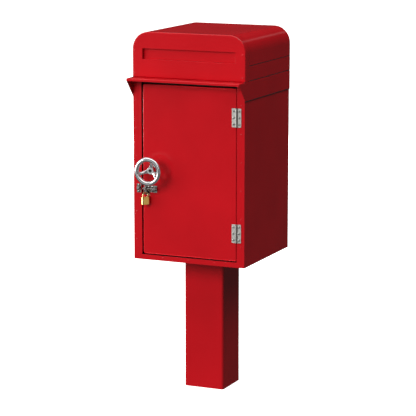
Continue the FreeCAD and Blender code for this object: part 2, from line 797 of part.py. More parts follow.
# Door: a pan with returned edges, pierced for the hinges, the spindle bush and the bolt plate
def make_door():
    body = new_body("door_panel")
    pad(body, "XZ_Plane", "front", "door_back",
        rectangle("door_left", "door_right", "door_low", "door_high"))
    fillet(body, "door_corner", lambda edge: runs(edge, "y"))
    fillet(body, "outer_bend", lambda edge: flat_at(edge, "y", "front"))
    shell(body, "skin", lambda face: flat_at(face, "y", "door_back"))
    pad(body, "XZ_Plane", "door_back - skin", "door_back",
        rectangle("door_left + skin / 2", "door_right - skin / 2", "door_low + skin / 2",
                  "door_high - skin / 2"),
        rectangle("door_left + door_return", "door_right - door_return", "door_low + door_return",
                  "door_high - door_return"))
    pocket(body, "XZ_Plane", "front - skin", "frame_back + skin",
           *holes(door_spots + plate_spots, "screw_hole"),
           circle("wheel_x", "wheel_z", "bush_radius + thread_gap"))


# Butt hinge leaf: x across the leaf, y along the pin, z out from the face that it lies on
def make_leaf(label, rotation, x, y, z, side, own):
    body = new_body(label, rotation, x, y, z)
    low = "0 - hinge_length / 2"
    high = "hinge_length / 2"
    left, right = sorted(("0", f"({side}) * leaf_width"), key=value)
    pad(body, "XZ_Plane", low, high, rectangle(left, right, "0", "leaf_skin"))
    fillet(body, "leaf_corner", lambda edge: runs(edge, "z") and at(edge, x=f"({side}) * leaf_width"))
    pad(body, "XZ_Plane", low, high, circle("0", "knuckle_radius", "knuckle_radius"))
    pocket(body, "XZ_Plane", f"{low} - skin", f"{high} + skin",
           circle("0", "knuckle_radius", "hinge_pin_radius + running_gap"))
    notches = []
    reach = "knuckle_radius + knuckle_gap"
    for step in range(driving["knuckle_count"]):
        if step % 2 != own:
            start = f"hinge_length * ({step} / knuckle_count - 1 / 2) - knuckle_gap / 2"
            end = f"hinge_length * ({step + 1} / knuckle_count - 1 / 2) + knuckle_gap / 2"
            notches.append(rectangle(f"0 - ({reach})", reach, start, end))
    pocket(body, "XY_Plane", "0 - skin", "2 * knuckle_radius + skin", *notches)
    spots = [(f"({side}) * hinge_screw_offset", f"({step}) * hinge_screw_pitch") for step in three]
    pocket(body, "XY_Plane", "0 - skin", "leaf_skin + skin", *holes(spots, "screw_hole"))


def make_hinges():
    for name, middle in door_hinges.items():
        make_leaf(f"{name}_hinge_frame_leaf", facing_front, "hinge_axis_x", "front", middle, "1", 0)
        make_leaf(f"{name}_hinge_door_leaf", facing_front, "hinge_axis_x", "front", middle, "0 - 1", 1)
    for name, middle in lid_hinges.items():
        make_leaf(f"{name}_lid_hinge_tub_leaf", facing_back, middle, "cap_back", "lid_axis_z", "0 - 1", 0)
        make_leaf(f"{name}_lid_hinge_lid_leaf", facing_back, middle, "cap_back", "lid_axis_z", "1", 1)
    half = "hinge_length / 2"
    group("door_hinge_pins",
          [cylinder(f"{name}_door_pin", upright, "hinge_axis_x", "front - knuckle_radius",
                    f"{middle} - {half}", "hinge_pin_radius", "hinge_length")
           for name, middle in door_hinges.items()])
    group("lid_hinge_pins",
          [cylinder(f"{name}_lid_pin", along_x, f"{middle} - {half}", "cap_back + knuckle_radius",
                    "lid_axis_z", "hinge_pin_radius", "hinge_length") for name, middle in lid_hinges.items()])
    screws("hinge_frame_screws", out_front, frame_spots, "front - leaf_skin", small_screw)
    screws("hinge_door_screws", out_front, door_spots, "front - leaf_skin", small_screw)
    screws("lid_hinge_tub_screws", out_back, tub_spots, "cap_back + leaf_skin", small_screw)
    screws("lid_hinge_lid_screws", out_back, lid_spots, "cap_back + leaf_skin", small_screw)


# Handwheel set: x across, y up, z out from the door's face along the spindle
def wheel_body(label, turn=0):
    rotation = facing_front.multiply(FreeCAD.Rotation(vector(0, 0, 1), turn))
    return new_body(label, rotation, "wheel_x", "front", "wheel_z")


def make_handwheel():
    body = wheel_body("handwheel", value("spoke_start"))
    rim = body.newObject("PartDesign::Revolution", "handwheel_rim")
    rim.Profile = sketch_on(body, "XZ_Plane", "0", [circle("rim_middle", "rim_plane", "rim_radius")])
    rim.ReferenceAxis = (rim.Profile[0], ["V_Axis"])
    rim.Angle = 360
    doc.recompute()
    pad(body, "XY_Plane", "hub_stand", "hub_face", circle("0", "0", "hub_radius"))
    fillet(body, "hub_edge", lambda edge: flat_at(edge, "z", "hub_face"))
    spoke = body.newObject("PartDesign::AdditiveLoft", "handwheel_spoke")
    low = "hub_face - spoke_sink"
    spoke.Profile = sketch_on(body, "YZ_Plane", "hub_radius / 2",
                              [ellipse("0", low, "spoke_root_width", "spoke_root_thick")])
    middle = sketch_on(body, "YZ_Plane", "(hub_radius + rim_middle) / 2",
                       [ellipse("0", f"({low}) * (1 - spoke_sag) + rim_plane * spoke_sag",
                                "spoke_waist_width", "spoke_waist_thick")])
    tip = sketch_on(body, "YZ_Plane", "rim_middle",
                    [ellipse("0", "rim_plane", "spoke_tip_width", "spoke_tip_thick")])
    spoke.Sections = [middle, tip]
    doc.recompute()
    spokes = body.newObject("PartDesign::PolarPattern", "handwheel_spokes")
    spokes.Originals = [spoke]
    spokes.Axis = (origin_feature(body, "Z_Axis"), [""])
    spokes.Angle = 360
    bind(spokes, "Occurrences", "spoke_count")
    body.Tip = spokes
    doc.recompute()
    pocket(body, "XY_Plane", "hub_face - cap_recess_depth", "hub_face + wheel_dish",
           circle("0", "0", "cap_recess_radius"))
    pocket(body, "XY_Plane", "0", "spindle_end", circle("0", "0", "spindle_bore"))
    pocket(body, "XY_Plane", "spindle_end", "hub_face", circle("0", "0", "cap_screw_radius + screw_hole_gap"))

    body = wheel_body("wheel_spindle")
    pad(body, "XY_Plane", "spindle_start", "spindle_end", circle("0", "0", "spindle_radius"))
    pocket(body, "XY_Plane", "spindle_end - cap_screw_length", "spindle_end",
           circle("0", "0", "cap_screw_radius + thread_gap"))

    body = wheel_body("wheel_cap_screw")
    seat = "hub_face - cap_recess_depth"
    pad(body, "XY_Plane", f"{seat} - cap_screw_length", seat, circle("0", "0", "cap_screw_radius"))
    pad(body, "XY_Plane", seat, f"{seat} + cap_screw_height", circle("0", "0", "cap_screw_head"))

    body = wheel_body("latch_cam")
    pad(body, "XY_Plane", "cam_back", "cam_front", circle("0", "0", "cam_boss_radius"))
    pad(body, "XY_Plane", "cam_back", "cam_front",
        rectangle("0 - cam_width / 2", "cam_width / 2", "0 - cam_length", "0"))
    fillet(body, "cam_tip_edge", lambda edge: runs(edge, "z") and at(edge, y="0 - cam_length"))
    pocket(body, "XY_Plane", "cam_back - skin", "cam_front + skin", circle("0", "0", "spindle_bore"))

    body = wheel_body("cam_nut")
    pad(body, "XY_Plane", "nut_back", "cam_back", hexagon_outline("cam_nut_flats"),
        circle("0", "0", "spindle_bore"))

    body = wheel_body("spindle_bush")
    pad(body, "XY_Plane", "0", "rose_thick", circle("0", "0", "rose_radius"))
    fillet(body, "rose_edge", lambda edge: flat_at(edge, "z", "rose_thick"))
    pad(body, "XY_Plane", "0 - bush_length", "0", circle("0", "0", "bush_radius"))
    pocket(body, "XY_Plane", "0 - bush_length - skin", "rose_thick + skin", circle("0", "0", "spindle_bore"))

    body = wheel_body("bush_nut")
    pad(body, "XY_Plane", "0 - skin - bush_nut_thick", "0 - skin", hexagon_outline("bush_nut_flats"),
        circle("0", "0", "bush_radius + thread_gap"))


# Slide bolt: x across, y up, z out from the door's face; the bolt runs along x in two guides
def make_slide_bolt():
    plate_low = "bolt_z - plate_half_height"
    plate_high = "bolt_z + plate_half_height"
    tongue_low = "bolt_z - tongue_drop"
    tongue_left = "eye_x - tongue_half"
    tongue_right = "eye_x + tongue_half"
    bore = circle("bolt_z", "bolt_stand", "bolt_radius + slide_gap")
    guide_top = "bolt_stand + guide_half"
    guide = rectangle("bolt_z - guide_half", "bolt_z + guide_half", "0", guide_top)

    body = new_body("bolt_plate", facing_front, "0", "front", "0")
    pad(body, "XY_Plane", "0", "plate_skin",
        polygon(("plate_left", plate_low), (tongue_left, plate_low), (tongue_left, tongue_low),
                (tongue_right, tongue_low), (tongue_right, plate_low), ("plate_right", plate_low),
                ("plate_right", plate_high), ("plate_left", plate_high)))
    fillet(body, "leaf_corner", lambda edge: runs(edge, "z"))
    for middle in ("guide_left", "guide_left + guide_pitch"):
        pad(body, "YZ_Plane", f"{middle} - guide_width / 2", f"{middle} + guide_width / 2", guide)
    fillet(body, "guide_half - guide_wall", lambda edge: runs(edge, "x") and at(edge, z=guide_top))
    pad(body, "YZ_Plane", "eye_x - eye_skin / 2", "eye_x + eye_skin / 2",
        rectangle("eye_z - eye_half", "eye_z + eye_half", "0", "eye_reach + eye_half"))
    fillet(body, "eye_corner", lambda edge: runs(edge, "x") and at(edge, z="eye_reach + eye_half"))
    pocket(body, "YZ_Plane", "eye_x - eye_skin", "eye_x + eye_skin", circle("eye_z", "eye_reach", "eye_hole"))
    pocket(body, "YZ_Plane", "plate_left - guide_width", "plate_right + guide_width", bore)
    pocket(body, "XY_Plane", "0 - skin", "plate_skin + skin", *holes(plate_spots, "screw_hole"))
    screws("bolt_plate_screws", out_front, plate_spots, "front - plate_skin", small_screw)

    body = new_body("slide_bolt", facing_front, "0", "front", "0")
    pad(body, "YZ_Plane", "bolt_tip", "bolt_tip + bolt_length", circle("bolt_z", "bolt_stand", "bolt_radius"))
    fillet(body, "bolt_tip_edge",
           lambda edge: flat_at(edge, "x", "bolt_tip") or flat_at(edge, "x", "bolt_tip + bolt_length"))
    tab_low = "bolt_z - tab_length"
    pad(body, "YZ_Plane", "tab_x - tab_width / 2", "tab_x + tab_width / 2",
        polygon((tab_low, "bolt_stand - tab_thick / 2"), ("bolt_z", "bolt_stand - tab_thick / 2"),
                ("bolt_z", "bolt_stand + tab_thick / 2"),
                (f"{tab_low} + tab_thick", "bolt_stand + tab_thick / 2"),
                (f"{tab_low} + tab_thick", "bolt_stand + tab_thick / 2 + tab_reach"),
                (tab_low, "bolt_stand + tab_thick / 2 + tab_reach")))

    body = new_body("bolt_keeper", facing_front, "0", "front", "0")
    pad(body, "XY_Plane", "0", "plate_skin",
        rectangle("keeper_left", "keeper_right", "bolt_z - keeper_half_height",
                  "bolt_z + keeper_half_height"))
    fillet(body, "leaf_corner", lambda edge: runs(edge, "z"))
    pad(body, "YZ_Plane", "keeper_middle - keeper_block / 2", "keeper_middle + keeper_block / 2", guide)
    fillet(body, "guide_half - guide_wall", lambda edge: runs(edge, "x") and at(edge, z=guide_top))
    pocket(body, "YZ_Plane", "keeper_left - skin", "keeper_right + skin",
           rectangle("bolt_z - bolt_radius - slide_gap", "bolt_z + bolt_radius + slide_gap", "plate_skin",
                     "bolt_stand + bolt_radius + slide_gap"))
    pocket(body, "XY_Plane", "0 - skin", "plate_skin + skin", *holes(keeper_spots, "screw_hole"))
    screws("keeper_screws", out_front, keeper_spots, "front - plate_skin", small_screw)


# Padlock: x across its width, y up, z out of its broad face, origin at the middle of the shackle's arch
def padlock_part(label):
    rotation = FreeCAD.Rotation(vector(0, 0, 1), value("padlock_turn")).multiply(facing_front)
    return new_body(label, rotation, "eye_x", "front - eye_reach", "eye_z - padlock_drop - shackle_radius")


def make_padlock():
    body = padlock_part("padlock_shackle")
    arch = body.newObject("PartDesign::Revolution", "padlock_arch")
    arch.Profile = sketch_on(body, "XZ_Plane", "0", [circle("shackle_radius", "0", "shackle_wire")])
    arch.ReferenceAxis = (arch.Profile[0], ["V_Axis"])
    arch.Angle = 180
    doc.recompute()
    heel = circle("0 - shackle_radius", "0", "shackle_wire")
    toe = circle("shackle_radius", "0", "shackle_wire")
    pad(body, "XZ_Plane", "case_top - heel_depth", "0", heel)
    pad(body, "XZ_Plane", "case_top - toe_depth", "0", toe)

    body = padlock_part("padlock_body")
    half = "case_width / 2"
    pad(body, "XY_Plane", "0 - case_thick / 2", "case_thick / 2",
        rectangle(f"0 - {half}", half, "case_low", "case_top"))
    fillet(body, "case_side_edge", lambda edge: runs(edge, "y"))
    fillet(body, "case_end_edge",
           lambda edge: flat_at(edge, "y", "case_low") or flat_at(edge, "y", "case_top"))
    hole = "shackle_wire + shackle_gap"
    pocket(body, "XZ_Plane", "case_top - heel_depth - shackle_gap", "case_top + skin",
           circle("0 - shackle_radius", "0", hole), circle("shackle_radius", "0", hole))
    pocket(body, "XZ_Plane", "case_low - skin", "case_low + plug_depth",
           circle("0", "0", "plug_radius + thread_gap"))

    body = padlock_part("padlock_plug")
    pad(body, "XZ_Plane", "case_low", "case_low + plug_depth", circle("0", "0", "plug_radius"))
    pocket(body, "XZ_Plane", "case_low - skin", "case_low + keyway_depth",
           rectangle("0 - keyway_length / 2", "keyway_length / 2", "0 - keyway_width / 2",
                     "keyway_width / 2"))


make_post()
make_cabinet()
make_tray()
make_mail_box()
screws("tray_screws", out_top, tray_spots, "tray_top + skin", tray_screw)
screws("header_screws", out_top, header_spots, "tray_top + skin", tray_screw)
make_flap()
make_door()
make_hinges()
make_handwheel()
make_slide_bolt()
make_padlock()
doc.recompute()

for thing in doc.Objects:
    if "Invalid" in thing.State or "Error" in thing.State:
        raise RuntimeError(f"{thing.Label} did not build: {thing.State}")
for thing in sub_parts:
    if thing.Shape.isNull() or not thing.Shape.isValid():
        raise RuntimeError(f"{thing.Label} has no valid shape")

os.makedirs("parts", exist_ok=True)
for thing in sub_parts:
    thing.Shape.exportStep(f"parts/{thing.Label}.step")
    print(thing.Label, len(thing.Shape.Solids), round(thing.Shape.Volume))
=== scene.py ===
import bmesh
import bpy
import json
import math
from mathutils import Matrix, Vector


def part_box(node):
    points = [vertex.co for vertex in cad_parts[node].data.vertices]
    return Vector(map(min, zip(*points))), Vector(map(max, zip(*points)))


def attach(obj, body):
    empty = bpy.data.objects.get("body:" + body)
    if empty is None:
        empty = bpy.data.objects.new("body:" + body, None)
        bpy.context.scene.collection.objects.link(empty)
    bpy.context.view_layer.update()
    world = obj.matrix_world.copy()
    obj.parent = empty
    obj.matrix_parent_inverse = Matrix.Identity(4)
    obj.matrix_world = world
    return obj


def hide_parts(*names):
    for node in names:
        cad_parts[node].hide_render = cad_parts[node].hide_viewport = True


# Parcel mailbox on a square post: powder-coated sheet steel, chromed handwheel, zinc hinges, brass padlock
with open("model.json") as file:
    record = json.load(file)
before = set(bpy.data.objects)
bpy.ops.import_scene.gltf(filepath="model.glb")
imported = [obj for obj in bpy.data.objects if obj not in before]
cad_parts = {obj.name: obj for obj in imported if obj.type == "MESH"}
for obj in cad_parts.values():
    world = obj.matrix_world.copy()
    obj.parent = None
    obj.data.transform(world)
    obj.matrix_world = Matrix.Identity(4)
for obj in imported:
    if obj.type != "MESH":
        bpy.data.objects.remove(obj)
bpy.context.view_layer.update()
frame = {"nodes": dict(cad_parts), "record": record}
nodes = frame["nodes"]
scene = bpy.context.scene
mm = 0.001


def linear(hexColour):  # sRGB hex to the linear colour that the shaders work in
    parts = [int(hexColour[place:place + 2], 16) / 255 for place in (1, 3, 5)]
    return tuple(c / 12.92 if c <= 0.04045 else ((c + 0.055) / 1.055) ** 2.4 for c in parts) + (1,)


def addNode(tree, kind, settings=None, values=None, links=None):
    node = tree.nodes.new(kind)
    for name, setting in (settings or {}).items():
        setattr(node, name, setting)
    for socket, number in (values or {}).items():
        node.inputs[socket].default_value = number
    for socket, source in (links or {}).items():
        tree.links.new(source, node.inputs[socket])
    return node


def newMaterial(name, shaderValues):
    material = bpy.data.materials.new(name)
    material.use_nodes = True
    tree = material.node_tree
    shader = tree.nodes["Principled BSDF"]
    for socket, number in shaderValues.items():
        shader.inputs[socket].default_value = number
    coordinates = addNode(tree, "ShaderNodeTexCoord").outputs["Object"]
    return material, tree, shader, coordinates


def perMetre(sizeInMm):  # a texture's scale, from the size of one of its cells
    return 1000 / sizeInMm


noiseBand = (0.3, 0.7)  # the middle of a noise's range, which colours and gloss run over

# Gloss polyester powder coat, sprayed and baked: an even strong red, a faint orange-peel ripple in the gloss
redCoat = {
    "thin": "#ac0a14",
    "full": "#b80c17",
    "refraction": 1.48,
    "cloudMm": 180,
    "glossMm": 22,
    "roughFrom": 0.19,
    "roughTo": 0.22,
    "peelMm": 3.2,
    "peelDepth": 0.03 * mm,
    "peelStrength": 0.5,
}


def makeRedCoat():
    material, tree, shader, coordinates = newMaterial("powderCoatRed", {"IOR": redCoat["refraction"]})
    cloud = addNode(tree, "ShaderNodeTexNoise", values={"Scale": perMetre(redCoat["cloudMm"]), "Detail": 2},
                    links={"Vector": coordinates})
    tone = addNode(tree, "ShaderNodeValToRGB", links={"Fac": cloud.outputs["Fac"]})
    for stop, place, colour in zip(tone.color_ramp.elements, noiseBand, (redCoat["thin"], redCoat["full"])):
        stop.position = place
        stop.color = linear(colour)
    tree.links.new(tone.outputs["Color"], shader.inputs["Base Color"])
    gloss = addNode(tree, "ShaderNodeTexNoise", values={"Scale": perMetre(redCoat["glossMm"]), "Detail": 3},
                    links={"Vector": coordinates})
    rough = addNode(tree, "ShaderNodeMapRange", values={
        "From Min": noiseBand[0], "From Max": noiseBand[1], "To Min": redCoat["roughFrom"],
        "To Max": redCoat["roughTo"]}, links={"Value": gloss.outputs["Fac"]})
    tree.links.new(rough.outputs["Result"], shader.inputs["Roughness"])
    peel = addNode(tree, "ShaderNodeTexNoise", values={"Scale": perMetre(redCoat["peelMm"]), "Detail": 1},
                   links={"Vector": coordinates})
    bump = addNode(tree, "ShaderNodeBump", values={
        "Strength": redCoat["peelStrength"], "Distance": redCoat["peelDepth"]},
        links={"Height": peel.outputs["Fac"]})
    tree.links.new(bump.outputs["Normal"], shader.inputs["Normal"])
    return material


# Metals: each has a base colour, a gloss and a grain that runs one way, from how it was finished
metals = {
    # bright zinc over pressed steel: pale, faintly cloudy, short rolling marks up and down
    "zincPlate": {"light": "#cfcfc9", "dark": "#aeada8", "grainMm": (0.5, 0.5, 9), "roughFrom": 0.36,
                  "roughTo": 0.46, "depth": 0.012 * mm},
    # polished chrome over a die casting: mirror-like, with a trace of handling
    "chromePlate": {"light": "#eef0f1", "dark": "#e2e4e6", "grainMm": (14, 14, 14), "roughFrom": 0.14,
                    "roughTo": 0.2, "depth": 0.004 * mm},
    # ground stainless strip: soft streaks along the bolt
    "groundSteel": {"light": "#c4c3bf", "dark": "#6c6b67", "grainMm": (9, 0.5, 0.5), "roughFrom": 0.14,
                    "roughTo": 0.26, "depth": 0.012 * mm},
    # extruded brass bar, linished: warm, with fine lines down the case
    "linishedBrass": {"light": "#dfbd72", "dark": "#c39b4c", "grainMm": (0.4, 0.4, 10), "roughFrom": 0.3,
                      "roughTo": 0.42, "depth": 0.012 * mm},
    # drawn steel rod with a thin brass wash: golden brown, paler where the wash has rubbed off
    "brassWash": {"light": "#e2c795", "dark": "#9c7640", "grainMm": (1.5, 1.5, 6), "roughFrom": 0.18,
                  "roughTo": 0.3, "depth": 0.008 * mm},
    # black oxide on a turned screw: dark and oily, with a dull glint on its edges
    "blackOxide": {"light": "#4a4846", "dark": "#2a2928", "grainMm": (2, 2, 2), "roughFrom": 0.3,
                   "roughTo": 0.42, "depth": 0.006 * mm},
}
grainStrength = 0.4


def makeMetal(name):
    metal = metals[name]
    material, tree, shader, coordinates = newMaterial(name, {"Metallic": 1})
    grainScale = [perMetre(size) for size in metal["grainMm"]]
    stretch = addNode(tree, "ShaderNodeMapping", values={"Scale": grainScale}, links={"Vector": coordinates})
    grain = addNode(tree, "ShaderNodeTexNoise", values={"Scale": 1, "Detail": 2},
                    links={"Vector": stretch.outputs["Vector"]})
    tone = addNode(tree, "ShaderNodeValToRGB", links={"Fac": grain.outputs["Fac"]})
    for stop, place, colour in zip(tone.color_ramp.elements, noiseBand, (metal["dark"], metal["light"])):
        stop.position = place
        stop.color = linear(colour)
    tree.links.new(tone.outputs["Color"], shader.inputs["Base Color"])
    rough = addNode(tree, "ShaderNodeMapRange", values={
        "From Min": noiseBand[0], "From Max": noiseBand[1], "To Min": metal["roughFrom"],
        "To Max": metal["roughTo"]}, links={"Value": grain.outputs["Fac"]})
    tree.links.new(rough.outputs["Result"], shader.inputs["Roughness"])
    bump = addNode(tree, "ShaderNodeBump", values={"Strength": grainStrength, "Distance": metal["depth"]},
                   links={"Height": grain.outputs["Fac"]})
    tree.links.new(bump.outputs["Normal"], shader.inputs["Normal"])
    return material


# Sponge rubber strip: matte, near black, with a fine open skin
sealRubber = {
    "light": "#1f1e1e",
    "dark": "#121212",
    "rough": 0.75,
    "poreMm": 1.2,
    "poreDepth": 0.15 * mm,
    "poreStrength": 0.5,
}


def makeRubber():
    material, tree, shader, coordinates = newMaterial("spongeRubber", {"Roughness": sealRubber["rough"]})
    poreScale = perMetre(sealRubber["poreMm"])
    pores = addNode(tree, "ShaderNodeTexNoise", values={"Scale": poreScale, "Detail": 2},
                    links={"Vector": coordinates})
    tone = addNode(tree, "ShaderNodeValToRGB", links={"Fac": pores.outputs["Fac"]})
    for stop, colour in zip(tone.color_ramp.elements, (sealRubber["dark"], sealRubber["light"])):
        stop.color = linear(colour)
    tree.links.new(tone.outputs["Color"], shader.inputs["Base Color"])
    bump = addNode(tree, "ShaderNodeBump", values={
        "Strength": sealRubber["poreStrength"], "Distance": sealRubber["poreDepth"]},
        links={"Height": pores.outputs["Fac"]})
    tree.links.new(bump.outputs["Normal"], shader.inputs["Normal"])
    return material


finishes = {"powderCoatRed": makeRedCoat()}
finishes |= {name: makeMetal(name) for name in metals}
finishes["spongeRubber"] = makeRubber()
print("materials made:", len(bpy.data.materials))

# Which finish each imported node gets, by its slot, with the latch's strip steel and the shackle apart
slotFinish = {"red_paint": "powderCoatRed", "zinc_steel": "zincPlate", "chrome_plate": "chromePlate",
              "padlock_brass": "linishedBrass", "seal_rubber": "spongeRubber"}
nodeFinish = {"bolt_plate": "groundSteel", "slide_bolt": "groundSteel", "bolt_keeper": "groundSteel",
              "latch_cam": "groundSteel", "wheel_spindle": "groundSteel", "wheel_cap_screw": "blackOxide",
              "padlock_shackle": "brassWash"}

# Groups of pieces that a light of their own falls on
catchers = {"brightMetal": [], "frontGlints": [], "padlockBrass": [], "doorEdge": []}
nodeGroups = (("upper_hinge", "frontGlints"), ("lower_hinge", "frontGlints"), ("padlock", "padlockBrass"))
for part in frame["record"]["subparts"]:
    packed = nodes[part["node"]]
    finish = nodeFinish.get(part["node"], slotFinish[part["material_slot"]])
    for place in packed.material_slots:
        place.material = finishes[finish]
    if finish in metals:
        catchers["brightMetal"].append(packed)
    for start, group in nodeGroups:
        if part["node"].startswith(start):
            catchers[group].append(packed)
print("finishes set on the packed nodes,", len(catchers["brightMetal"]), "of them bright metal")


# Pieces from a node tree: bare points, each with its way out of the surface, or a bare path,
# and the tree that dresses them
def newTree(name, inputs):
    tree = bpy.data.node_groups.new(name, "GeometryNodeTree")
    tree.interface.new_socket("Geometry", in_out="INPUT", socket_type="NodeSocketGeometry")
    for label, kind in inputs:
        tree.interface.new_socket(label, in_out="INPUT", socket_type=kind)
    tree.interface.new_socket("Geometry", in_out="OUTPUT", socket_type="NodeSocketGeometry")
    return tree, addNode(tree, "NodeGroupInput").outputs


def finishTree(tree, shape, finish):
    solid = addNode(tree, "GeometryNodeRealizeInstances", links={"Geometry": shape})
    dressed = addNode(tree, "GeometryNodeSetMaterial", links={
        "Geometry": solid.outputs["Geometry"], "Material": finish})
    addNode(tree, "NodeGroupOutput", links={"Geometry": dressed.outputs["Geometry"]})


def spreadOut(tree, points, shape, seed):  # the shape's Z along each point's way out, twisted at random
    outward = addNode(tree, "GeometryNodeInputNamedAttribute", {"data_type": "FLOAT_VECTOR"},
                      {"Name": "outward"})
    upright = addNode(tree, "FunctionNodeAlignRotationToVector", {"axis": "Z"},
                      links={"Vector": outward.outputs["Attribute"]})
    twist = addNode(tree, "FunctionNodeRandomValue", {"data_type": "FLOAT_VECTOR"},
                    {"Min": (0, 0, 0), "Max": (0, 0, 2 * math.pi), "Seed": seed})
    turn = addNode(tree, "FunctionNodeRotateRotation", {"rotation_space": "LOCAL"}, links={
        "Rotation": upright.outputs["Rotation"], "Rotate By": twist.outputs["Value"]})
    spread = addNode(tree, "GeometryNodeInstanceOnPoints", links={
        "Points": points, "Instance": shape, "Rotation": turn.outputs["Rotation"]})
    return spread.outputs["Instances"]


def dressPoints(name, tree, places, values):
    mesh = bpy.data.meshes.new(name + "Points")
    mesh.from_pydata([place for place, outward in places], [], [])
    ways = mesh.attributes.new("outward", "FLOAT_VECTOR", "POINT")
    for index, (place, outward) in enumerate(places):
        ways.data[index].vector = outward
    return dress(name, tree, mesh, values)


def dressPath(name, tree, path, runs, values):
    mesh = bpy.data.meshes.new(name + "Path")
    mesh.from_pydata(path, runs, [])
    return dress(name, tree, mesh, values)


def dress(name, tree, mesh, values):
    piece = bpy.data.objects.new(name, mesh)
    scene.collection.objects.link(piece)
    modifier = piece.modifiers.new(name, "NODES")
    modifier.node_group = tree
    for socket in tree.interface.items_tree:
        if socket.in_out == "INPUT" and socket.name in values:
            modifier[socket.identifier] = values[socket.name]
    graph = bpy.context.evaluated_depsgraph_get()
    plain = bpy.data.meshes.new_from_object(piece.evaluated_get(graph), depsgraph=graph)
    piece.modifiers.remove(modifier)
    piece.data = plain
    print(name, "made:", len(plain.polygons), "faces")
    return piece


# Cross-head screws: a pan head, turned domed on top, with a cross recess cut in it
screws = {
    "seed": 7,
    "headSides": 40,
    "shankSides": 20,
    "domeSegments": 48,
    "domeRings": 40,
    "weldWithin": 0.001 * mm,
    "small": {"headRadius": 3.4 * mm, "headHeight": 1.5 * mm, "rimHeight": 0.6 * mm,
              "shankRadius": 1.75 * mm, "shankLength": 3.5 * mm,
              "crossLength": 3.8 * mm, "crossWidth": 0.9 * mm, "crossDepth": 0.9 * mm},
    "large": {"headRadius": 4.5 * mm, "headHeight": 2.6 * mm, "rimHeight": 1.1 * mm,
              "shankRadius": 2.5 * mm, "shankLength": 7 * mm,
              "crossLength": 5 * mm, "crossWidth": 1.2 * mm, "crossDepth": 1.5 * mm},
}


def screwTree():
    sizes = ("headRadius", "headHeight", "domeRadius", "shankRadius", "shankLength", "crossLength",
             "crossWidth", "crossDepth")
    tree, given = newTree("crossHeadScrew", [(size, "NodeSocketFloat") for size in sizes]
                          + [("metal", "NodeSocketMaterial")])
    middle = addNode(tree, "ShaderNodeMath", {"operation": "MULTIPLY"}, {1: 0.5}, {0: given["headHeight"]})
    lift = addNode(tree, "ShaderNodeCombineXYZ", links={"Z": middle.outputs[0]})
    blank = addNode(tree, "GeometryNodeMeshCylinder", values={"Vertices": screws["headSides"]},
                    links={"Radius": given["headRadius"], "Depth": given["headHeight"]})
    blank = addNode(tree, "GeometryNodeTransform", links={
        "Geometry": blank.outputs["Mesh"], "Translation": lift.outputs["Vector"]})
    sunk = addNode(tree, "ShaderNodeMath", {"operation": "SUBTRACT"}, links={
        0: given["headHeight"], 1: given["domeRadius"]})
    lift = addNode(tree, "ShaderNodeCombineXYZ", links={"Z": sunk.outputs[0]})
    ball = addNode(tree, "GeometryNodeMeshUVSphere", values={
        "Segments": screws["domeSegments"], "Rings": screws["domeRings"]},
        links={"Radius": given["domeRadius"]})
    ball = addNode(tree, "GeometryNodeTransform", links={
        "Geometry": ball.outputs["Mesh"], "Translation": lift.outputs["Vector"]})
    head = addNode(tree, "GeometryNodeMeshBoolean", {"operation": "INTERSECT"}, links={
        "Mesh 2": blank.outputs["Geometry"]})
    tree.links.new(ball.outputs["Geometry"], head.inputs["Mesh 2"])
    depth = addNode(tree, "ShaderNodeMath", {"operation": "MULTIPLY"}, {1: 2}, {0: given["crossDepth"]})
    bar = addNode(tree, "ShaderNodeCombineXYZ", links={
        "X": given["crossLength"], "Y": given["crossWidth"], "Z": depth.outputs[0]})
    slot = addNode(tree, "GeometryNodeMeshCube", links={"Size": bar.outputs["Vector"]})
    top = addNode(tree, "ShaderNodeCombineXYZ", links={"Z": given["headHeight"]})
    along = addNode(tree, "GeometryNodeTransform", links={
        "Geometry": slot.outputs["Mesh"], "Translation": top.outputs["Vector"]})
    across = addNode(tree, "GeometryNodeTransform", values={"Rotation": (0, 0, math.pi / 2)}, links={
        "Geometry": slot.outputs["Mesh"], "Translation": top.outputs["Vector"]})
    head = addNode(tree, "GeometryNodeMeshBoolean", {"operation": "DIFFERENCE"}, links={
        "Mesh 1": head.outputs["Mesh"], "Mesh 2": along.outputs["Geometry"]})
    tree.links.new(across.outputs["Geometry"], head.inputs["Mesh 2"])
    middle = addNode(tree, "ShaderNodeMath", {"operation": "MULTIPLY"}, {1: -0.5}, {0: given["shankLength"]})
    drop = addNode(tree, "ShaderNodeCombineXYZ", links={"Z": middle.outputs[0]})
    shank = addNode(tree, "GeometryNodeMeshCylinder", values={"Vertices": screws["shankSides"]},
                    links={"Radius": given["shankRadius"], "Depth": given["shankLength"]})
    shank = addNode(tree, "GeometryNodeTransform", links={
        "Geometry": shank.outputs["Mesh"], "Translation": drop.outputs["Vector"]})
    whole = addNode(tree, "GeometryNodeJoinGeometry", links={"Geometry": head.outputs["Mesh"]})
    tree.links.new(shank.outputs["Geometry"], whole.inputs["Geometry"])
    spread = spreadOut(tree, given["Geometry"], whole.outputs["Geometry"], screws["seed"])
    finishTree(tree, spread, given["metal"])
    return tree


def solidBoxes(nodeName):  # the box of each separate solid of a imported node, from a welded copy of its mesh
    work = bmesh.new()
    work.from_mesh(nodes[nodeName].data)
    bmesh.ops.remove_doubles(work, verts=work.verts, dist=screws["weldWithin"])
    waiting = set(work.verts)
    boxes = []
    while waiting:
        reached = [waiting.pop()]
        for vertex in reached:
            near = {edge.other_vert(vertex) for edge in vertex.link_edges} & waiting
            waiting -= near
            reached.extend(near)
        sides = list(zip(*[vertex.co for vertex in reached]))
        boxes.append([Vector([limit(side) for side in sides]) for limit in (min, max)])
    work.free()
    # a set has no fixed order, so the boxes are put in order of place, and each screw keeps its twist
    return sorted(boxes, key=lambda box: [round(side / mm, 1) for side in box[0]])


